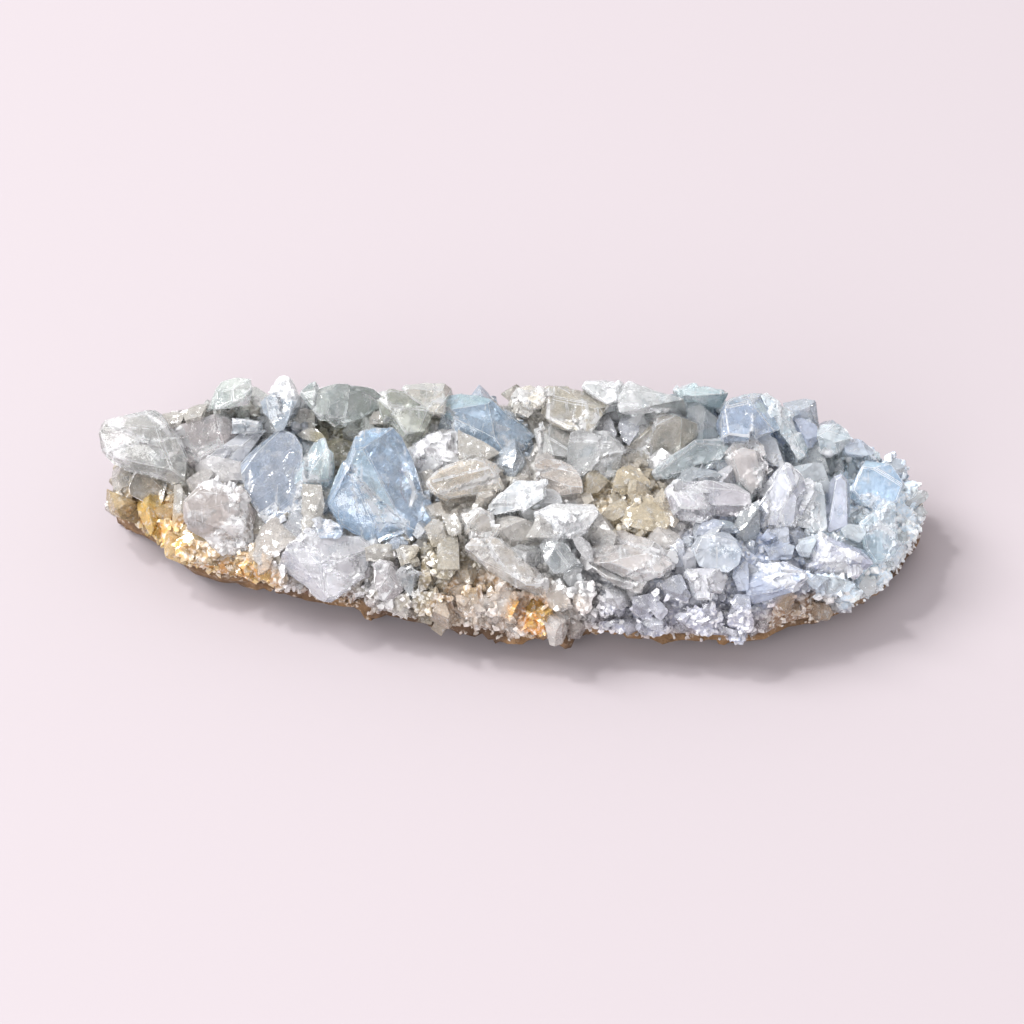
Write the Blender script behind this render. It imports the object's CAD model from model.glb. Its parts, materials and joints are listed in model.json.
"""The looks of the celestite cluster: clear and cloudy crystals, a sugary crust and brown host rock."""

import itertools
import json
import math
import random
from typing import NamedTuple

import bmesh
import bpy
from bpy.props import FloatProperty, FloatVectorProperty, IntProperty, PointerProperty
from mathutils import Matrix, Vector, noise
from mathutils.bvhtree import BVHTree

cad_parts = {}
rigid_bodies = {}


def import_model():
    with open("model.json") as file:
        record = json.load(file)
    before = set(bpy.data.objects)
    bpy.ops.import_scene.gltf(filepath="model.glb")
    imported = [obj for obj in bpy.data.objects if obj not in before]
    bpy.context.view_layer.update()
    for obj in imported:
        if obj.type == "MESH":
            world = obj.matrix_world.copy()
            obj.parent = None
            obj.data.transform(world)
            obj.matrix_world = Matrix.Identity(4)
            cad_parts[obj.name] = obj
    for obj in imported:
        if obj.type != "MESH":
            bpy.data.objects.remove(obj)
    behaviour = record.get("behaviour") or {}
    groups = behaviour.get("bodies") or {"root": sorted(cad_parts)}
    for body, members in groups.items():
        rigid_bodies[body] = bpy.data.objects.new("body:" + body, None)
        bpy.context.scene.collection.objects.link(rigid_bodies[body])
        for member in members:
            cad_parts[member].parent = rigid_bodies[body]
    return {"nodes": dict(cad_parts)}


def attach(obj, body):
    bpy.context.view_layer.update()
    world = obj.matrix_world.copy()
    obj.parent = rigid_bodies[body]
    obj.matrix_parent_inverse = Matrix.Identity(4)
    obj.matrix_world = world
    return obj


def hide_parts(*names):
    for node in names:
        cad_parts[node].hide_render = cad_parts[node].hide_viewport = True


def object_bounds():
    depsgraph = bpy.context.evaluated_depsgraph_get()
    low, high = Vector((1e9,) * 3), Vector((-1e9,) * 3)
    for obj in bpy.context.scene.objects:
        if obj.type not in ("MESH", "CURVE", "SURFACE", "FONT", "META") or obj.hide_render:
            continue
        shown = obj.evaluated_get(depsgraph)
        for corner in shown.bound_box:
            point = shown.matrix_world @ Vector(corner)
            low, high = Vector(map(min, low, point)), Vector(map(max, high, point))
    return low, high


bl_info = {
    "name": "Celestite Cluster",
    "version": (1, 0, 0),
    "blender": (4, 5, 0),
    "location": "3D View > Sidebar > Celestite",
    "description": "Dresses a celestite cluster with crystals, crust, rock and a plain stage",
    "category": "Object",
}

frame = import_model()
CAD_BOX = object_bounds()

MM = 0.001
SEED = 11
DOWN = Vector((0, 0, -1))
NO_AXIS = Vector()

# How far looks may reach beyond the CAD model's box, in millimetres.
SPARE_ACROSS = 3.5
SPARE_DEPTH = 1.3
SPARE_UP = 0.7
WIDEST = Vector((
    CAD_BOX[1].x + SPARE_ACROSS * MM,
    CAD_BOX[1].y + SPARE_DEPTH * MM,
    CAD_BOX[1].z + SPARE_UP * MM,
))
# Small crystals keep a little further from the left and right ends.
ROOM_ACROSS = 3.0

# The eye looks at the cluster from the front and above, as the camera does.
EYE_ELEVATION = math.radians(48)
EYE_DISTANCE = 0.6
EYE_TARGET = Vector((-0.0006, 0.0020, 0.0120))
EYE_ACROSS = Vector((1, 0, 0))
EYE_UP = Vector((0, math.sin(EYE_ELEVATION), math.cos(EYE_ELEVATION)))
EYE_NEAR = Vector((0, -math.cos(EYE_ELEVATION), math.sin(EYE_ELEVATION)))
# The camera's lens and the width of its sensor, in millimetres.
LENS = 114.9
SENSOR = 36

# Each light: its size and its place, in metres. Its power is a setting.
LIGHTS = {
    "key": (1.5, (-2.3, 0.5, 2.5)),
    "fill": (0.8, (-0.7, -1.1, 0.8)),
    "glint": (0.12, (-0.55, 0.2, 1.2)),
}
FLOOR_HALF_WIDTH = 3.0
SKY_COLOUR = (1.0, 0.97, 0.985, 1)

# Each crystal: its finish, its colour seen from the front, and colours of sides that differ from it.
CRYSTALS = {
    "tall_blue": ("clear", (146, 174, 210), {"top": (104, 132, 166), "right": (166, 176, 210)}),
    "second_blue": ("clear", (140, 168, 200), {"right": (176, 200, 216), "top": (150, 180, 205)}),
    "big_lavender": ("clear", (134, 148, 172), {"top": (112, 128, 152), "right": (92, 110, 136)}),
    "white_block": ("cloudy", (200, 200, 208), {"top": (214, 214, 220), "under": (180, 182, 196)}),
    "left_tip": ("clear", (120, 120, 116), {"top": (146, 146, 142), "under": (84, 86, 82)}),
    "pink_clear": ("clear", (192, 182, 182), {"top": (205, 200, 200)}),
    "smoky_rough": ("rough", (150, 143, 140), {"top": (170, 165, 160), "under": (128, 122, 116)}),
    "smoky_olive": ("clear", (86, 76, 62), {}),
    "clear_top": ("clear", (160, 172, 168), {"top": (182, 192, 188)}),
    "olive_clear": ("clear", (124, 128, 114), {}),
    "cream_top": ("clear", (194, 188, 174), {}),
    "white_rough": ("rough", (214, 216, 216), {}),
    "blue_prism": ("clear", (128, 142, 158), {"top": (160, 172, 184)}),
    "green_top": ("clear", (126, 134, 128), {}),
    "striated_slab": ("striated", (186, 194, 202), {}),
    "grey_blue": ("cloudy", (158, 162, 172), {}),
    "sky_blue": ("clear", (172, 198, 220), {"right": (150, 178, 205)}),
    "blue_ball": ("rough", (172, 188, 208), {}),
    "white_lump": ("rough", (192, 190, 194), {}),
    "tan_oval": ("clear", (162, 148, 130), {"top": (150, 138, 122)}),
    "tan_light": ("cloudy", (182, 174, 164), {}),
    "slanted_tan": ("cloudy", (150, 142, 132), {"top": (176, 172, 168)}),
    "pink_white": ("cloudy", (206, 198, 200), {}),
    "bright_clear": ("clear", (200, 206, 210), {}),
    "dark_glass": ("clear", (118, 120, 120), {"right": (150, 154, 154)}),
    "pale_block": ("cloudy", (180, 176, 170), {}),
    "khaki_broad": ("cloudy", (162, 154, 136), {}),
    "cream_lens": ("cloudy", (186, 178, 160), {}),
    "white_lens": ("cloudy", (206, 210, 210), {}),
    "grey_slab": ("cloudy", (180, 184, 184), {"under": (150, 154, 152)}),
    "olive_dark": ("clear", (112, 106, 94), {}),
    "teal_front": ("clear", (112, 124, 128), {"top": (136, 150, 154), "under": (92, 102, 104)}),
    "grey_upright": ("clear", (124, 130, 134), {}),
    "blue_green_top": ("cloudy", (152, 172, 176), {}),
    "periwinkle": ("clear", (138, 160, 196), {"top": (170, 192, 214), "left": (120, 138, 170)}),
    "cyan_strip": ("striated", (200, 220, 230), {}),
    "bent_prism_top": ("cloudy", (206, 200, 196), {}),
    "bent_prism": ("cloudy", (198, 190, 188), {}),
    "grey_pink_long": ("cloudy", (168, 164, 172), {"top": (186, 184, 190)}),
    "pink_tan": ("clear", (152, 138, 126), {"top": (170, 160, 154)}),
    "white_step": ("striated", (198, 204, 208), {}),
    "white_fan": ("striated", (210, 212, 216), {}),
    "glass_blade": ("clear", (152, 158, 160), {}),
    "dull_pink": ("cloudy", (172, 164, 160), {"under": (150, 142, 142)}),
    "pale_blade": ("cloudy", (192, 188, 184), {}),
    "white_blue_pair": ("cloudy", (190, 200, 214), {"right": (160, 176, 204)}),
    "pale_grey": ("cloudy", (192, 192, 200), {}),
    "lavender_wall": ("cloudy", (152, 156, 172), {"top": (170, 176, 190)}),
    "pale_arch": ("cloudy", (186, 192, 202), {}),
    "ragged_white": ("rough", (196, 204, 210), {}),
    "lavender_mid": ("cloudy", (156, 162, 180), {}),
    "fan_blue": ("striated", (152, 178, 206), {}),
    "fan_right": ("striated", (182, 206, 222), {}),
    "lavender_fan": ("rough", (168, 172, 190), {}),
    "blue_block": ("rough", (160, 170, 192), {}),
    "ball_end": ("cloudy", (200, 214, 222), {}),
}

# How much lighter or darker the sides of a crystal are where no colour is given for them.
SIDE_SHADES = {"face": 1.0, "top": 1.06, "left": 1.03, "right": 0.88, "under": 0.8}

# Each finish: how see-through it is, its roughness, its cloudiness, and the height of its bumps in
# millimetres.
FINISHES = {
    "clear": (0.78, 0.03, 0.5, 0.05),
    "cloudy": (0.7, 0.07, 0.55, 0.06),
    "striated": (0.66, 0.06, 0.65, 0.10),
    "rough": (0.55, 0.1, 0.55, 0.12),
}
# Light passes a see-through crystal more than once, so its tint is paler than the colour that is seen.
# Each finish: the power that pales its colours, and how much stronger they then become.
TINTS = {
    "clear": (0.28, 2.0),
    "cloudy": (0.43, 1.5),
    "striated": (0.42, 1.7),
    "rough": (0.6, 1.4),
}
# The same for the crystals that are fused to the crust, and for the small ones on it.
FUSED_TINT = (0.38, 1.8)
SMALL_TINT = (0.32, 1.8)
DARKEST_TINT = 0.1
CRYSTAL_IOR = 1.62
CRUST_IOR = 1.6

# The light values of the colours that veil, line and speckle the finishes.
VEIL_WHITE = (0.93, 0.95, 0.97, 1)
DEEP_SHADE = (0.62, 0.68, 0.72, 1)
WORN_WHITE = (0.97, 0.98, 1.0, 1)
SUGAR_WHITE = (0.9, 0.89, 0.88, 1)
SUGAR_SHADE = (0.6, 0.55, 0.5, 1)
SPECK_WHITE = (0.95, 0.96, 0.97, 1)
SMALL_WHITE = (0.93, 0.95, 0.98)
DARK_EARTH = (0.09, 0.05, 0.028, 1)
LIGHT_EARTH = (0.24, 0.135, 0.06, 1)
SUGARED_EARTH = (0.36, 0.28, 0.21, 1)
CRUMB_COLOUR = (0.55, 0.47, 0.4, 1)
PIT_COLOUR = (0.04, 0.025, 0.018, 1)

# How many corners are chipped off a crystal of each finish.
CHIP_COUNTS = {"clear": 3, "cloudy": 5, "striated": 4, "rough": 8}
# How a surface is broken up into small facets, in two sizes: their size in millimetres, their slope, and the
# height of the steps between them in millimetres.
BREAKS = {
    "clear": ((7.0, 0.24, 0.4), (2.4, 0.06, 0.05)),
    "cloudy": ((4.4, 0.36, 0.7), (1.8, 0.16, 0.12)),
    "striated": ((3.5, 0.3, 0.4), (1.3, 0.25, 0.14)),
    "rough": ((3.2, 0.5, 0.6), (1.3, 0.5, 0.25)),
}
CRUST_BREAKS = ((3.4, 0.5, 0.6), (1.4, 0.7, 0.5))
ROCK_BREAKS = ((7.0, 0.35, 0.6), (2.6, 0.6, 0.5))
# The longest side of the triangles that crust and rock are broken up by, in millimetres.
CRUST_GRAIN = 1.1
ROCK_GRAIN = 1.6
# How much of their own shape the crystals that are fused to the crust keep.
FUSED_KEEPS = 0.85
# Facets are drawn out along a crystal by this share.
DRAWN_OUT = 0.55
# The line of wear along the steps between facets: its width in millimetres, and its strength for each
# millimetre of height.
STEP_LINE = 0.5
STEP_WEAR = 3

# Growth steps stand on facets larger than this, in square millimetres, and are at least this far in from the
# facet's sides, in millimetres.
STEP_AREA = 7
STEP_INSET = 0.2

# Patches of colour on the crust, as the eye sees them in millimetres: the middle across and up, half the
# width and height, and the colour.
PATCHES = {
    "tan left foot": ((-58.0, -7.0), (13.0, 7.0), (184, 156, 118)),
    "olive under the left tip": ((-68.0, 3.0), (6.0, 4.0), (150, 132, 104)),
    "orange left end": ((-67.0, -4.0), (8.0, 5.0), (226, 168, 84)),
    "orange front edge on the left": ((-55.0, -12.5), (12.0, 3.0), (212, 158, 90)),
    "brown front edge on the left": ((-34.0, -17.0), (9.0, 3.0), (98, 68, 46)),
    "olive gap at the back": ((-32.0, 13.5), (3.5, 5.0), (104, 98, 76)),
    "khaki beside the tall blue crystal": ((-13.0, -13.0), (6.5, 8.0), (150, 138, 114)),
    "tan front edge in the middle": ((-3.0, -17.0), (11.0, 6.0), (172, 138, 100)),
    "pale front edge in the middle": ((4.0, -20.0), (14.0, 6.0), (212, 198, 184)),
    "orange spot in the middle": ((3.5, -19.0), (4.5, 3.5), (214, 148, 72)),
    "beige right of the middle": ((22.0, 1.0), (9.0, 8.0), (176, 160, 132)),
    "lavender front edge on the right": ((30.0, -20.0), (17.0, 6.5), (164, 166, 182)),
    "dark teal gap": ((42.5, 1.5), (3.5, 5.0), (84, 98, 100)),
    "brown front edge on the right": ((53.0, -19.0), (8.5, 4.5), (140, 112, 88)),
    "grey green gap on the right": ((59.0, 8.0), (5.5, 4.0), (112, 122, 118)),
    "pale blue right end": ((66.0, -4.0), (13.0, 15.0), (226, 241, 253)),
}
# How far past its own size a patch reaches, and how wide its edge is, as shares of its size.
PATCH_END = 1.25
PATCH_EDGE = 0.5
# The edges of patches wander by this many millimetres, this many times in a metre.
WANDER = 3.2
WANDER_SCALE = 130
# The crust turns from grey in the middle to blue this many millimetres to the right.
CRUST_COLOUR = (164, 160, 152)
BLUE_CRUST = (168, 180, 206)
BLUE_FROM = 50
# The share of a large crystal's colour that the small crystals near it take.
NEIGHBOUR_SHARE = 0.65
# Near the host rock the crust and its grains turn to earth: below this height, over this fade, both in
# millimetres, and by this share.
EARTH_COLOUR = (118, 86, 62)
EARTH_HEIGHT = 9.0
EARTH_FADE = 4
EARTH_SHARE = 0.75


class SizeStep(NamedTuple):
    """The small crystals of one range of sizes, in millimetres."""

    share: float
    smallest: float
    largest: float
    left_out: float
    left_out_right: float
    right_from: float
    needs_room: bool


# The large ones are set down first. Each step has its share of the places that are tried. Where sugar covers
# the crust, a share of the crystals is left out, and another share from a place at the right end on. Those of
# the first step need room at the edge everywhere.
SIZE_STEPS = (
    SizeStep(0.1, 6.0, 8.5, left_out=1.0, left_out_right=1.0, right_from=58, needs_room=True),
    SizeStep(0.35, 3.6, 5.2, left_out=0.85, left_out_right=0.95, right_from=58, needs_room=False),
    SizeStep(0.55, 1.6, 2.8, left_out=0.3, left_out_right=0.75, right_from=50, needs_room=False),
)
GRAIN_SIZES = (0.7, 1.4)
ROCK_GRAIN_SIZES = (0.5, 0.9)
# The lowest places of small crystals on the crust and of grains on the rock, in millimetres.
SMALL_FROM = 6.5
ROCK_GRAINS_FROM = 5
# A surface faces up where the height of its normal is more than this.
FACES_UP = 0.8
# How far small crystals and grains lean away from the surface's normal.
SMALL_LEAN = 0.4
GRAIN_LEAN = 0.7
# Two small crystals stand at least this share of their sizes apart.
ELBOW_ROOM = 0.33
# Nothing small is set down where a large crystal is this close above it, in millimetres.
COVERED = 1.5
# The placed crystals are looked up in cells of this many millimetres.
CELL = 5
CELLS_AROUND = tuple(itertools.product((-1, 0, 1), repeat=3))


def linear(colour):
    """A colour in 0 to 255 as the eye names it, as the light values that a shader takes."""
    return tuple(((part / 255 + 0.055) / 1.055) ** 2.4 if part > 10 else part / 3295 for part in colour)


def clamped(value, low=0.0, high=1.0):
    """A value held between two limits."""
    return min(high, max(low, value))


def mixed(first, second, share):
    """A colour that is a share of the way from one colour to another."""
    return tuple(a + (b - a) * share for a, b in zip(first, second))


def shaded(colour, factor):
    """A colour made lighter or darker."""
    return tuple(min(1.0, part * factor) for part in colour)


def clear_tint(colour, power, strength):
    """The paler tint that a see-through crystal needs to be seen in a colour."""
    pale = [part ** power for part in colour]
    grey = sum(pale) / 3
    return tuple(max(DARKEST_TINT, grey + (part - grey) * strength) for part in pale)


def seen_at(point):
    """Where the eye sees a point, in millimetres across and up."""
    away = point - EYE_TARGET
    shrink = (1 - away.dot(EYE_NEAR) / EYE_DISTANCE) * MM
    return away.dot(EYE_ACROSS) / shrink, away.dot(EYE_UP) / shrink


def side_of(normal):
    """Which side of a crystal a facet is on, as the eye sees it."""
    across = normal.dot(EYE_ACROSS)
    up = normal.dot(EYE_UP)
    if normal.dot(EYE_NEAR) > 0.72:
        return "face"
    if abs(up) > abs(across):
        return "top" if up > 0 else "under"
    return "right" if across > 0 else "left"


def crust_colour(point, neighbour=None):
    """The colour of crust and small crystals at a point, from the patches there and a large neighbour."""
    across, up = seen_at(point)
    wander = noise.noise_vector(point * WANDER_SCALE) * WANDER
    across += wander.x
    up += wander.y
    found = mixed(linear(CRUST_COLOUR), linear(BLUE_CRUST), clamped(across / BLUE_FROM))
    if neighbour:
        found = mixed(found, linear(neighbour), NEIGHBOUR_SHARE)
    for (middle_across, middle_up), (half_width, half_height), colour in PATCHES.values():
        reach = math.hypot((across - middle_across) / half_width, (up - middle_up) / half_height)
        found = mixed(found, linear(colour), clamped((PATCH_END - reach) / PATCH_EDGE))
    earth = clamped((EARTH_HEIGHT * MM - point.z) / (EARTH_FADE * MM) + wander.z * 0.25)
    return mixed(found, linear(EARTH_COLOUR), earth * EARTH_SHARE)


class Number:
    """A number socket whose sums and products add Math nodes."""

    def __init__(self, finish, socket):
        self.finish = finish
        self.socket = socket

    def math(self, operation, *parts):
        return self.finish.node("ShaderNodeMath", {"operation": operation}, dict(enumerate(parts)))

    def __add__(self, other):
        return self.math("ADD", self, other)

    def __radd__(self, other):
        return self.math("ADD", other, self)

    def __sub__(self, other):
        return self.math("SUBTRACT", self, other)

    def __mul__(self, other):
        return self.math("MULTIPLY", self, other)

    def __truediv__(self, other):
        return self.math("DIVIDE", self, other)

    def between(self, low, high):
        """0 below low, 1 above high, and smooth in between."""
        return self.finish.node(
            "ShaderNodeMapRange",
            {"interpolation_type": "SMOOTHSTEP"},
            {"Value": self, "From Min": low, "From Max": high},
        )


class Finish:
    """A material under construction, with short ways to add its nodes."""

    def __init__(self, name):
        self.material = bpy.data.materials.new(name)
        self.material.use_nodes = True
        self.tree = self.material.node_tree
        self.shader = self.tree.nodes["Principled BSDF"]
        self.coordinates = self.node("ShaderNodeTexCoord", {}, {}, "Object")

    def node(self, kind, settings, inputs, output=0):
        """Adds a node, makes its settings, then sets or links its sockets, and gives one of its outputs."""
        made = self.tree.nodes.new(kind)
        for name, value in settings.items():
            setattr(made, name, value)
        for name, value in inputs.items():
            self.join(made.inputs[name], value)
        return Number(self, made.outputs[output])

    def join(self, socket, value):
        """Links a socket to a number, or gives it a plain value."""
        if isinstance(value, Number):
            self.tree.links.new(value.socket, socket)
        else:
            socket.default_value = value

    def set(self, **values):
        """Sets or links the shader's sockets, named with underscores for spaces."""
        for name, value in values.items():
            self.join(self.shader.inputs[name.replace("_", " ")], value)

    def stretched(self, scale, turn=(0, 0, 0)):
        """The object's coordinates, turned and scaled."""
        inputs = {"Vector": self.coordinates, "Scale": scale, "Rotation": turn}
        return self.node("ShaderNodeMapping", {}, inputs)

    def clouds(self, size, detail=3.0, roughness=0.55, vector=None):
        """Noise from 0 to 1 whose blotches are about this many millimetres across."""
        inputs = {
            "Vector": vector or self.coordinates,
            "Scale": 1 / (size * MM),
            "Detail": detail,
            "Roughness": roughness,
        }
        return self.node("ShaderNodeTexNoise", {}, inputs)

    def chips(self, size):
        """The height of small tilted facets about this many millimetres across, in metres."""
        inputs = {"Vector": self.coordinates, "Scale": 1 / (size * MM), "Randomness": 1.0}
        colour = self.node("ShaderNodeTexVoronoi", {}, inputs, "Color")
        place = Number(self, colour.socket.node.outputs["Position"])
        tilt = self.vector("SUBTRACT", colour, (0.5, 0.5, 0.5))
        local = self.vector("SUBTRACT", self.coordinates, place)
        return self.vector("DOT_PRODUCT", tilt, local, "Value")

    def vector(self, operation, first, second, output="Vector"):
        return self.node("ShaderNodeVectorMath", {"operation": operation}, {0: first, 1: second}, output)

    def attribute(self, name, output="Color"):
        return self.node("ShaderNodeAttribute", {"attribute_name": name}, {}, output)

    def mix(self, factor, first, second, blend="MIX"):
        """The mix of two colours, on the sockets that the colour kind of the node shows."""
        settings = {"data_type": "RGBA", "blend_type": blend, "clamp_factor": True}
        return self.node("ShaderNodeMix", settings, {0: factor, 6: first, 7: second}, 2)

    def bump(self, height, distance, under=None):
        """The normal of a height, which is in metres where the distance is 1."""
        inputs = {"Height": height, "Distance": distance}
        if under:
            inputs["Normal"] = under
        return self.node("ShaderNodeBump", {}, inputs)


def crystal_finish(name, see_through, roughness, cloudiness, bump_height):
    """Clear to cloudy crystal: tinted by facet, with veils, fine streaks, worn edges and small chips."""
    finish = Finish(f"celestite_{name}")
    tint = finish.attribute("tint")
    wear = finish.attribute("wear", "Fac")
    slanted = finish.stretched((1.0, 1.7, 0.55), (0.4, 0.7, 0.2))
    lengthwise = finish.stretched((1.0, 0.1, 0.1), (0.5, 0.5, 0.0))

    # Darker depths under white veils
    depths = finish.clouds(4.0, 3.0, 0.6).between(0.5, 0.64)
    deep = finish.mix(depths * 0.7, tint, DEEP_SHADE, "MULTIPLY")
    veil = finish.clouds(2.8, 6.0, 0.72, slanted).between(0.5, 0.68) * cloudiness
    veiled = finish.mix(veil, deep, VEIL_WHITE)

    # Fine streaks in some places
    streaks = finish.clouds(0.7, 4.0, 0.6, lengthwise).between(0.57, 0.66)
    streaked_places = finish.clouds(4.0, 2.0).between(0.44, 0.56)
    streaked = finish.mix(streaks * streaked_places * 0.85, veiled, VEIL_WHITE)

    # Worn edges
    worn = wear * finish.clouds(1.8, 3.0, 0.6).between(0.34, 0.5)
    colour = finish.mix(worn * 0.9, streaked, WORN_WHITE)

    # Striations, chips and a fine grain
    line_height = bump_height * (2.2 if name == "striated" else 0.8)
    chip_height = 0.4 if name == "rough" else 0.12
    lined = finish.bump(finish.clouds(1.0, 2.0, 0.5, lengthwise), line_height * MM)
    chipped = finish.bump(finish.chips(2.2) * chip_height, 1.0, lined)
    normal = finish.bump(finish.clouds(0.5, 2.0, 0.6), bump_height * MM * 0.6, chipped)
    finish.set(
        Base_Color=colour,
        Roughness=roughness + veil * 0.25 + worn * 0.3,
        Transmission_Weight=see_through,
        IOR=CRYSTAL_IOR,
        Normal=normal,
    )
    return finish.material


def crust_finish():
    """Sugary crust: nearly matt grains in the colour of each patch."""
    finish = Finish("sugary_crust")
    tint = finish.attribute("tint")
    grains = finish.clouds(0.8, 3.0, 0.65)
    pale = finish.mix(grains.between(0.45, 0.65) * 0.7, tint, SUGAR_WHITE)
    hollows = finish.clouds(2.4, 4.0, 0.6).between(0.55, 0.7)
    chipped = finish.bump(finish.chips(1.1) * 0.8, 1.0)
    finish.set(
        Base_Color=finish.mix(hollows * 0.4, pale, SUGAR_SHADE, "MULTIPLY"),
        Roughness=0.25 + grains.between(0.3, 0.7) * 0.4,
        Transmission_Weight=0.2,
        IOR=CRUST_IOR,
        Normal=finish.bump(grains, 0.25 * MM, chipped),
    )
    return finish.material


def druse_finish():
    """Small crystals of the crust: mostly clear, each in the colour of its patch."""
    finish = Finish("small_celestite")
    tint = finish.attribute("tint")
    specks = finish.clouds(1.2, 4.0, 0.65).between(0.5, 0.68)
    finish.set(
        Base_Color=finish.mix(specks * 0.6, tint, SPECK_WHITE),
        Roughness=0.08 + specks * 0.25,
        Transmission_Weight=0.7,
        IOR=CRYSTAL_IOR,
        Normal=finish.bump(finish.chips(0.9) * 0.35, 1.0),
    )
    return finish.material


def rock_finish():
    """Host rock: brown and ochre earth with pale crumbs and pits, and sugar towards its upper edge."""
    finish = Finish("host_rock")
    broad = finish.clouds(14.0, 4.0, 0.6)
    fine = finish.clouds(1.4, 5.0, 0.65)
    earth = finish.mix(broad.between(0.4, 0.62), DARK_EARTH, LIGHT_EARTH)
    height = finish.node("ShaderNodeSeparateXYZ", {}, {"Vector": finish.coordinates}, "Z") / MM
    sugar = (height + (broad - 0.5) * 12).between(5.0, 9.5)
    sugared = finish.mix(sugar * 0.5, earth, SUGARED_EARTH)
    crumbs = finish.mix(fine.between(0.54, 0.68) * 0.75, sugared, CRUMB_COLOUR)
    finish.set(
        Base_Color=finish.mix(fine.between(0.28, 0.42), PIT_COLOUR, crumbs),
        Roughness=0.7 + fine * 0.25,
        Normal=finish.bump(fine, 0.6 * MM, finish.bump(broad, 1.5 * MM)),
    )
    return finish.material


def floor_finish(colour):
    """A matt floor."""
    finish = Finish("floor")
    finish.set(Base_Color=(*colour, 1), Roughness=0.9, Specular_IOR_Level=0.1)
    return finish.material


def solid_copy(node, flatness=2.0, shortest=0.01):
    """A CAD node's mesh with its flat facets as single faces, and room for what is painted on them.

    Facets that differ by less than the flatness, in degrees, become one. So do corners that are closer than
    the shortest side, in millimetres.
    """
    made = bmesh.new()
    made.from_mesh(frame["nodes"][node].data)
    made.loops.layers.float_color.new("tint")
    made.loops.layers.float.new("wear")
    made.faces.layers.int.new("worn")
    made.faces.layers.float.new("shade")
    made.verts.layers.float.new("step")
    bmesh.ops.remove_doubles(made, verts=made.verts, dist=0.002 * MM)
    bmesh.ops.dissolve_limit(made, angle_limit=math.radians(flatness), verts=made.verts, edges=made.edges)
    bmesh.ops.remove_doubles(made, verts=made.verts, dist=shortest * MM)
    bmesh.ops.recalc_face_normals(made, faces=made.faces)
    return made


def grow(made, amount):
    """Enlarges a crystal about its middle, more across than up, so that the gaps round it close."""
    middle = sum((vertex.co for vertex in made.verts), Vector()) / len(made.verts)
    reach = sum((vertex.co - middle).length for vertex in made.verts) / len(made.verts)
    more = amount / reach
    factors = (1 + more, 1 + more, 1 + more * 0.4)
    bmesh.ops.scale(made, vec=factors, space=Matrix.Translation(-middle), verts=made.verts)


def cut_off(made, place, normal, tolerance):
    """Cuts away what lies beyond a plane, and closes the cut."""
    geometry = made.verts[:] + made.edges[:] + made.faces[:]
    result = bmesh.ops.bisect_plane(
        made, geom=geometry, dist=tolerance, plane_co=place, plane_no=normal, clear_outer=True
    )
    edges = [part for part in result["geom_cut"] if isinstance(part, bmesh.types.BMEdge)]
    if len(edges) > 2:
        bmesh.ops.contextual_create(made, geom=edges)


def divide(made, longest):
    """Splits edges longer than this many metres, until the triangles are small enough to be shaped."""
    bmesh.ops.triangulate(made, faces=made.faces)
    for _ in range(7):
        long_edges = [edge for edge in made.edges if edge.calc_length() > longest]
        if not long_edges:
            break
        bmesh.ops.subdivide_edges(made, edges=long_edges, cuts=1)
        bmesh.ops.triangulate(made, faces=made.faces)
        flat = [edge for edge in made.edges if edge.is_manifold and edge.calc_face_angle(1.0) < 0.005]
        bmesh.ops.beautify_fill(made, faces=made.faces, edges=flat)


def unrest_at(point):
    """How strongly a surface is broken up at a point: some stretches stay nearly flat."""
    return clamped((noise.noise(point * 110) + 0.3) * 2.2, 0.12)


def break_up(made, breaks, axis):
    """Breaks the surface up into small tilted facets, drawn out along an axis, with steps between them."""
    made.normal_update()
    step = made.verts.layers.float["step"]
    moves = []
    for vertex in made.verts:
        unrest = unrest_at(vertex.co)
        place = vertex.co - axis * vertex.co.dot(axis) * DRAWN_OUT
        height = 0.0
        for size, slope, drop in breaks:
            distances, spots = noise.voronoi(place / (size * MM))
            tilt = noise.cell_vector(spots[0] * 37) - Vector((0.5, 0.5, 0.5))
            local = place - spots[0] * size * MM
            height += local.dot(tilt) * slope * 2 + tilt.x * drop * MM
            if distances[1] - distances[0] < STEP_LINE / size and unrest > 0.4:
                vertex[step] = max(vertex[step], drop * STEP_WEAR)
        moves.append(vertex.normal * height * unrest)
    for vertex, move in zip(made.verts, moves):
        vertex.co += move
        vertex.co = [clamped(part, -most, most) for part, most in zip(vertex.co, WIDEST)]


def piece_from(name, made, material, nodes):
    """Turns a finished bmesh into a piece of the object."""
    mesh = bpy.data.meshes.new(name)
    made.to_mesh(mesh)
    made.free()
    mesh.materials.append(material)
    piece = bpy.data.objects.new(name, mesh)
    bpy.context.scene.collection.objects.link(piece)
    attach(piece, "root")
    if nodes:
        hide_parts(*nodes)
    return piece


def paint_faces(made, colour_of, wear_of):
    """Writes tint and wear to the corners of each face."""
    tint = made.loops.layers.float_color["tint"]
    wear = made.loops.layers.float["wear"]
    for face in made.faces:
        for loop in face.loops:
            loop[tint] = (*colour_of(face, loop), 1)
            loop[wear] = wear_of(face, loop)


def chip_corners(made, rng, count, depth):
    """Cuts small facets off some corners that can be seen from the front or above."""
    for _ in range(count):
        made.normal_update()
        made.verts.ensure_lookup_table()
        outer = [
            vertex for vertex in made.verts
            if vertex.normal.dot(EYE_NEAR) > -0.1 or vertex.normal.z > 0.2
        ]
        if not outer:
            return
        vertex = rng.choice(outer)
        lean = Vector([rng.uniform(-0.5, 0.5) for _ in range(3)])
        normal = (vertex.normal + lean).normalized()
        place = vertex.co - normal * depth * rng.uniform(0.4, 1.0)
        cut_off(made, place, normal, 1e-7)


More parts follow.
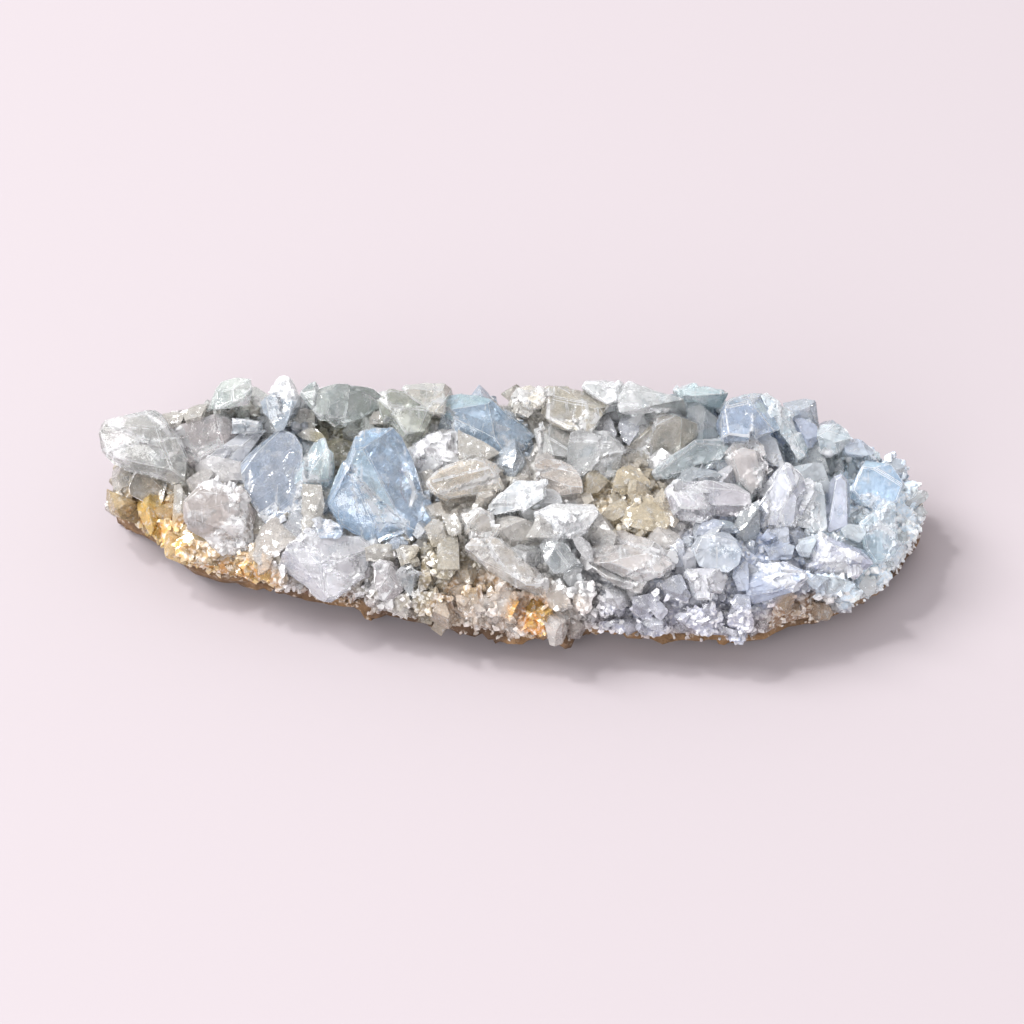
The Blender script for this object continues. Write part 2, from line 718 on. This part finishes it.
def add_steps(made, rng, chance):
    """Raises thin growth steps, each a little turned, on some of the large facets."""
    smallest = STEP_AREA * MM * MM
    large = [face for face in made.faces if face.calc_area() > smallest and face.normal.z > 0.05]
    for face in large:
        if rng.random() > chance:
            continue
        shortest = min(edge.calc_length() for edge in face.edges)
        half_width = face.calc_area() / face.calc_perimeter()
        thickness = min(shortest * 0.4, half_width * rng.uniform(0.25, 0.6))
        if thickness < STEP_INSET * MM:
            continue
        height = rng.uniform(0.1, 0.25) * MM
        bmesh.ops.inset_individual(made, faces=[face], thickness=thickness, depth=height)
        middle = face.calc_center_median()
        reach = max((vertex.co - middle).length for vertex in face.verts)
        turn = Matrix.Rotation(rng.uniform(-0.5, 0.5) * thickness / reach, 3, face.normal)
        bmesh.ops.rotate(made, verts=face.verts, cent=middle, matrix=turn)


def side_tints(finish_name, front, sides):
    """The tint of each side of a crystal: that of its own colour, or the front's, lighter or darker."""
    tints = {}
    for side, factor in SIDE_SHADES.items():
        tint = clear_tint(linear(sides.get(side, front)), *TINTS[finish_name])
        tints[side] = shaded(tint, 1.0 if side in sides else factor)
    return tints


def dress_crystal(name, rng, settings):
    """One crystal: grown, chipped, stepped, bevelled, broken up into small facets and tinted."""
    finish_name, front, sides = CRYSTALS[name]
    made = solid_copy(f"crystal_{name}", shortest=0.4)
    grow(made, settings.growth * MM)
    chip_corners(made, rng, CHIP_COUNTS[finish_name], settings.chip_depth * MM)
    add_steps(made, rng, settings.step_chance)
    made.normal_update()
    result = bmesh.ops.bevel(
        made, geom=made.edges[:], affect="EDGES", offset=settings.bevel * MM, segments=1, profile=0.5,
        material=-1, clamp_overlap=True,
    )
    worn = made.faces.layers.int["worn"]
    shade = made.faces.layers.float["shade"]
    for face in result["faces"]:
        face[worn] = 1
    for face in made.faces:
        face[shade] = rng.uniform(0.8, 1.25)
    longest = max(made.edges, key=lambda edge: edge.calc_length())
    axis = (longest.verts[0].co - longest.verts[1].co).normalized()
    divide(made, settings.grain * MM)
    break_up(made, BREAKS[finish_name], axis)
    made.normal_update()
    step = made.verts.layers.float["step"]
    tints = side_tints(finish_name, front, sides)
    paint_faces(
        made,
        lambda face, loop: shaded(tints[side_of(face.normal)], face[shade]),
        lambda face, loop: max(face[worn], min(1.0, loop.vert[step])),
    )
    return made


def stands_out(tree, point):
    """How far a point of the crust stands above the crust in a ring of 4 mm round it."""
    heights = []
    for step in range(8):
        angle = math.tau * step / 8
        start = Vector((point.x + math.cos(angle) * 4 * MM, point.y + math.sin(angle) * 4 * MM, 60 * MM))
        hit = tree.ray_cast(start, DOWN)[0]
        heights.append(hit.z if hit else point.z)
    return point.z - sum(heights) / len(heights)


def small_template(rng, cuts):
    """A small blocky crystal with a chisel end, one unit long, standing on its root."""
    made = bmesh.new()
    bmesh.ops.create_cube(made, size=1.0)
    bmesh.ops.scale(made, vec=(rng.uniform(0.7, 1.1), rng.uniform(0.35, 0.85), 1.2), verts=made.verts)
    for index in range(cuts):
        angle = rng.uniform(0, math.tau)
        rise = rng.uniform(0.5, 1.6) if index % 2 else rng.uniform(-0.3, 0.5)
        normal = Vector((math.cos(angle), math.sin(angle), rise)).normalized()
        cut_off(made, normal * rng.uniform(0.28, 0.44), normal, 1e-5)
    bmesh.ops.triangulate(made, faces=made.faces)
    made.loops.layers.float_color.new("tint")
    return made


def surface_points(mesh, count, rng):
    """Random places on a mesh's first material, spread by area, with their normals."""
    mesh.calc_loop_triangles()
    triangles = [triangle for triangle in mesh.loop_triangles if not triangle.material_index]
    corners = [[mesh.vertices[index].co for index in triangle.vertices] for triangle in triangles]
    areas = [triangle.area for triangle in triangles]
    for index in rng.choices(range(len(triangles)), areas, k=count):
        a, b, c = corners[index]
        first = rng.random()
        second = rng.random()
        if first + second > 1:
            first = 1 - first
            second = 1 - second
        yield a + (b - a) * first + (c - a) * second, triangles[index].normal


def out_of_room(point):
    """True outside the box that the visual model may fill."""
    return abs(point.y) > WIDEST.y or abs(point.x) > WIDEST.x or point.z > WIDEST.z


def edge_room(point):
    """How far a small crystal may stand out past a point, in metres."""
    in_depth = CAD_BOX[1].y + SPARE_DEPTH * MM - abs(point.y)
    across = CAD_BOX[1].x + ROOM_ACROSS * MM - abs(point.x)
    return max(0.0, min(in_depth, across))


def is_sugary(across, up):
    """True on the stretches that sugar covers, as the eye sees them in millimetres."""
    front_edge = up < -12 - 0.06 * across
    right_end = across > 58
    left_foot = across < -48 and up < -2
    return front_edge or right_end or left_foot


def small_size(step, rng):
    """The rule that gives a small crystal its size at a place, or None where there should be none."""

    def size_of(point, normal):
        across, up = seen_at(point)
        if point.z < SMALL_FROM * MM or normal.z < -0.2:
            return None
        left_out = step.left_out if across < step.right_from else step.left_out_right
        if is_sugary(across, up) and rng.random() < left_out:
            return None
        size = rng.uniform(step.smallest, step.largest) * MM
        fits = size * 0.7 < edge_room(point)
        on_top = normal.z > FACES_UP and not step.needs_room
        return size if fits or on_top else None

    return size_of


def grain_size(rng):
    """The rule that gives a grain on the crust its size at a place, or None."""

    def size_of(point, normal):
        size = rng.uniform(*GRAIN_SIZES) * MM
        return size if size < edge_room(point) or normal.z > FACES_UP else None

    return size_of


def rock_grain_size(rng):
    """The rule that gives a grain on the rock its size at a place, or None."""

    def size_of(point, normal):
        if point.z <= ROCK_GRAINS_FROM * MM or normal.z <= -0.3:
            return None
        return rng.uniform(*ROCK_GRAIN_SIZES) * MM

    return size_of


class Druse:
    """Small crystals that stand on a surface, clear of one another and of the large crystals."""

    def __init__(self, rng):
        self.rng = rng
        self.placed = {}
        self.owners = []
        large = bmesh.new()
        for name in CRYSTALS:
            mesh = bpy.data.objects[name].data
            large.from_mesh(mesh)
            self.owners.extend([name] * len(mesh.polygons))
        self.large = BVHTree.FromBMesh(large)
        large.free()

    def crowded(self, cell, point, size):
        """True where a small crystal would stand in another one."""
        for x, y, z in CELLS_AROUND:
            for other, other_size in self.placed.get((cell[0] + x, cell[1] + y, cell[2] + z), ()):
                if (point - other).length < (size + other_size) * ELBOW_ROOM:
                    return True
        return False

    def covered(self, point, normal):
        """True where a large crystal lies close above a point."""
        return self.large.ray_cast(point + normal * 0.05 * MM, normal, COVERED * MM)[0] is not None

    def single(self, templates, point, normal, size, lean):
        """One small crystal, turned and sized, with its root in the surface."""
        rng = self.rng
        axis = (normal + Vector([rng.uniform(-lean, lean) for _ in range(3)])).normalized()
        turn = axis.to_track_quat("Z", "Y").to_matrix() @ Matrix.Rotation(rng.uniform(0, math.tau), 3, "Z")
        made = rng.choice(templates).copy()
        bmesh.ops.scale(made, vec=(size, size, size * rng.uniform(0.75, 1.15)), verts=made.verts)
        bmesh.ops.rotate(made, matrix=turn, verts=made.verts)
        bmesh.ops.translate(made, vec=point + axis * size * 0.1, verts=made.verts)
        return made

    def paint(self, made, point, neighbour):
        """Tints a small crystal by its place and its large neighbour, and whitens the pale ones most."""
        own = shaded(crust_colour(point, neighbour), self.rng.uniform(0.95, 1.3))
        paleness = (min(own) / max(own)) ** 2
        own = shaded(clear_tint(own, *SMALL_TINT), 0.7 + 0.3 * paleness)
        own = mixed(own, SMALL_WHITE, self.rng.uniform(0.0, 0.7) * paleness)
        tint = made.loops.layers.float_color["tint"]
        for face in made.faces:
            facet = shaded(own, self.rng.uniform(0.85, 1.12))
            for loop in face.loops:
                loop[tint] = (*facet, 1)

    def scatter(self, made, points, templates, size_of, lean):
        """Adds small crystals at those of the points where there is room for them."""
        passing = bpy.data.meshes.new("passing")
        for point, normal in points:
            size = size_of(point, normal)
            cell = tuple(int(part // (CELL * MM)) for part in point)
            if size is None or self.crowded(cell, point, size) or self.covered(point, normal):
                continue
            _, _, nearest, distance = self.large.find_nearest(point + normal * size * 0.5)
            if size > 2 * MM and distance < size * 0.08:
                continue
            self.placed.setdefault(cell, []).append((point, size))
            single = self.single(templates, point, normal, size, lean)
            if not any(out_of_room(vertex.co) for vertex in single.verts):
                self.paint(single, point, CRYSTALS[self.owners[nearest]][1])
                single.to_mesh(passing)
                made.from_mesh(passing)
            single.free()
        bpy.data.meshes.remove(passing)


def number(name, description, default, low, high, unit="NONE"):
    """A setting that is a number."""
    return FloatProperty(name=name, description=description, default=default, min=low, max=high, unit=unit)


class StageSettings(bpy.types.PropertyGroup):
    """The floor, the lights and the camera."""

    floor_colour: FloatVectorProperty(
        name="Floor", description="Colour of the floor", subtype="COLOR", default=(0.335, 0.302, 0.318),
        min=0, max=1,
    )
    key_power: number("Key light", "Power of the large light at the upper left", 146.0, 0, 400, "POWER")
    fill_power: number("Fill light", "Power of the front light", 12.0, 0, 100, "POWER")
    glint_power: number("Glint light", "Power of the small light that draws glints", 7.0, 0, 100, "POWER")
    sky: number("Sky", "Brightness of the light from all round", 1.22, 0, 5)


class CrystalSettings(bpy.types.PropertyGroup):
    """Sizes of the details on the large crystals, in millimetres."""

    growth: number("Growth", "How far each crystal reaches out to its neighbours", 1.0, 0, 2)
    chip_depth: number("Chips", "Depth of the chips on the corners", 1.1, 0, 3)
    bevel: number("Worn edges", "Width of the worn edges", 0.2, 0, 1)
    step_chance: number("Steps", "Share of large facets that carry a growth step", 0.5, 0, 1)
    grain: number("Grain", "Longest side of the triangles that the surface is broken up by", 0.7, 0.3, 5)


class CrustSettings(bpy.types.PropertyGroup):
    """Numbers and sizes of what grows on the crust."""

    small_count: IntProperty(
        name="Small crystals", description="Places tried for small crystals", default=7000, min=0
    )
    grain_count: IntProperty(name="Grains", description="Places tried for sugar grains", default=9000, min=0)
    rock_grain_count: IntProperty(
        name="Grains on rock", description="Places tried for grains on the host rock", default=9000, min=0
    )


def add_light(name, power, size, place):
    """A square light that shines on the cluster."""
    lamp = bpy.data.lights.new(name, "AREA")
    lamp.energy = power
    lamp.size = size
    made = bpy.data.objects.new(name, lamp)
    made.location = place
    made.rotation_euler = (EYE_TARGET - Vector(place)).to_track_quat("-Z", "Y").to_euler()
    bpy.context.scene.collection.objects.link(made)


def add_camera():
    """The camera where the eye is."""
    camera = bpy.data.cameras.new("camera")
    camera.lens = LENS
    camera.sensor_width = SENSOR
    made = bpy.data.objects.new("camera", camera)
    made.location = EYE_TARGET + EYE_NEAR * EYE_DISTANCE
    made.rotation_euler = (math.pi / 2 - EYE_ELEVATION, 0, 0)
    bpy.context.scene.collection.objects.link(made)
    bpy.context.scene.camera = made


class CELESTITE_OT_stage(bpy.types.Operator):
    """Add the floor, soft lights and the camera"""

    bl_idname = "celestite.stage"
    bl_label = "Stage"

    def execute(self, context):
        settings = context.scene.celestite_stage
        made = bmesh.new()
        bmesh.ops.create_grid(made, x_segments=1, y_segments=1, size=FLOOR_HALF_WIDTH)
        mesh = bpy.data.meshes.new("floor")
        made.to_mesh(mesh)
        made.free()
        mesh.materials.append(floor_finish(settings.floor_colour))
        floor = bpy.data.objects.new("floor", mesh)
        context.scene.collection.objects.link(floor)

        world = bpy.data.worlds.new("studio")
        world.use_nodes = True
        background = world.node_tree.nodes["Background"]
        background.inputs["Color"].default_value = SKY_COLOUR
        background.inputs["Strength"].default_value = settings.sky
        context.scene.world = world
        context.scene.view_settings.view_transform = "Standard"

        for name, (size, place) in LIGHTS.items():
            add_light(name, getattr(settings, f"{name}_power"), size, place)
        add_camera()
        return {"FINISHED"}


class CELESTITE_OT_rock(bpy.types.Operator):
    """Add the host rock"""

    bl_idname = "celestite.rock"
    bl_label = "Host rock"

    def execute(self, context):
        made = solid_copy("host_rock", flatness=0.5)
        divide(made, ROCK_GRAIN * MM)
        break_up(made, ROCK_BREAKS, NO_AXIS)
        for vertex in made.verts:
            vertex.co.z = max(vertex.co.z, 0.0)
        piece_from("rock", made, rock_finish(), ["host_rock"])
        return {"FINISHED"}


class CELESTITE_OT_crust(bpy.types.Operator):
    """Add the sugary crust"""

    bl_idname = "celestite.crust"
    bl_label = "Sugary crust"

    def execute(self, context):
        made = solid_copy("sugary_crust", flatness=1.0)
        tree = BVHTree.FromBMesh(made)
        for face in made.faces:
            # The crystals that are fused to the crust take its second material.
            face.material_index = int(stands_out(tree, face.calc_center_median()) > 0.5 * MM)
        divide(made, CRUST_GRAIN * MM)
        before = {vertex: vertex.co.copy() for vertex in made.verts}
        break_up(made, CRUST_BREAKS, NO_AXIS)
        for vertex, place in before.items():
            if any(face.material_index for face in vertex.link_faces):
                vertex.co = vertex.co.lerp(place, FUSED_KEEPS)
        made.normal_update()
        colours = {vertex: crust_colour(vertex.co) for vertex in made.verts}

        def colour_of(face, loop):
            own = colours[loop.vert]
            return clear_tint(own, *FUSED_TINT) if face.material_index else own

        paint_faces(made, colour_of, lambda face, loop: 0.0)
        piece = piece_from("crust", made, crust_finish(), ["sugary_crust"])
        piece.data.materials.append(druse_finish())
        return {"FINISHED"}


class CELESTITE_OT_crystals(bpy.types.Operator):
    """Add the large crystals"""

    bl_idname = "celestite.crystals"
    bl_label = "Large crystals"

    def execute(self, context):
        settings = context.scene.celestite_crystals
        finishes = {name: crystal_finish(name, *values) for name, values in FINISHES.items()}
        for index, name in enumerate(CRYSTALS):
            rng = random.Random(SEED * 100 + index)
            made = dress_crystal(name, rng, settings)
            piece_from(name, made, finishes[CRYSTALS[name][0]], [f"crystal_{name}"])
        return {"FINISHED"}


class CELESTITE_OT_druse(bpy.types.Operator):
    """Add the small crystals and sugar grains that cover the crust"""

    bl_idname = "celestite.druse"
    bl_label = "Small crystals"

    def execute(self, context):
        settings = context.scene.celestite_crust
        rng = random.Random(SEED)
        templates = [small_template(rng, 8) for _ in range(12)]
        grains = [small_template(rng, 4) for _ in range(8)]
        druse = Druse(rng)
        crust = bpy.data.objects["crust"].data
        rock = bpy.data.objects["rock"].data
        matt, clear = crust.materials

        made = bmesh.new()
        for step in SIZE_STEPS:
            points = surface_points(crust, int(settings.small_count * step.share), rng)
            druse.scatter(made, points, templates, small_size(step, rng), SMALL_LEAN)
        piece_from("small_crystals", made, clear, [])

        made = bmesh.new()
        points = surface_points(crust, settings.grain_count, rng)
        druse.scatter(made, points, grains, grain_size(rng), GRAIN_LEAN)
        piece_from("sugar_grains", made, matt, [])

        made = bmesh.new()
        points = surface_points(rock, settings.rock_grain_count, rng)
        druse.scatter(made, points, grains, rock_grain_size(rng), GRAIN_LEAN)
        piece_from("rock_grains", made, matt, [])

        for template in templates + grains:
            template.free()
        return {"FINISHED"}


class CELESTITE_PT_panel(bpy.types.Panel):
    """Lists the pieces and the sizes that can be changed"""

    bl_label = "Celestite Cluster"
    bl_space_type = "VIEW_3D"
    bl_region_type = "UI"
    bl_category = "Celestite"

    def draw(self, context):
        groups = (
            (context.scene.celestite_stage, StageSettings, (CELESTITE_OT_stage,)),
            (context.scene.celestite_crystals, CrystalSettings, (CELESTITE_OT_crystals,)),
            (
                context.scene.celestite_crust, CrustSettings,
                (CELESTITE_OT_rock, CELESTITE_OT_crust, CELESTITE_OT_druse),
            ),
        )
        for settings, kind, operators in groups:
            box = self.layout.box()
            for name in kind.__annotations__:
                box.prop(settings, name)
            for operator in operators:
                box.operator(operator.bl_idname)


SETTINGS = {
    "celestite_stage": StageSettings,
    "celestite_crystals": CrystalSettings,
    "celestite_crust": CrustSettings,
}
CLASSES = (
    *SETTINGS.values(),
    CELESTITE_OT_stage,
    CELESTITE_OT_rock,
    CELESTITE_OT_crust,
    CELESTITE_OT_crystals,
    CELESTITE_OT_druse,
    CELESTITE_PT_panel,
)


def register():
    for kind in CLASSES:
        bpy.utils.register_class(kind)
    for name, kind in SETTINGS.items():
        setattr(bpy.types.Scene, name, PointerProperty(type=kind))


def unregister():
    for name in SETTINGS:
        delattr(bpy.types.Scene, name)
    for kind in reversed(CLASSES):
        bpy.utils.unregister_class(kind)


def main():
    """Adds the stage and every piece."""
    register()
    bpy.ops.celestite.stage()
    bpy.ops.celestite.rock()
    bpy.ops.celestite.crust()
    bpy.ops.celestite.crystals()
    bpy.ops.celestite.druse()


if __name__ == "__main__":
    main()
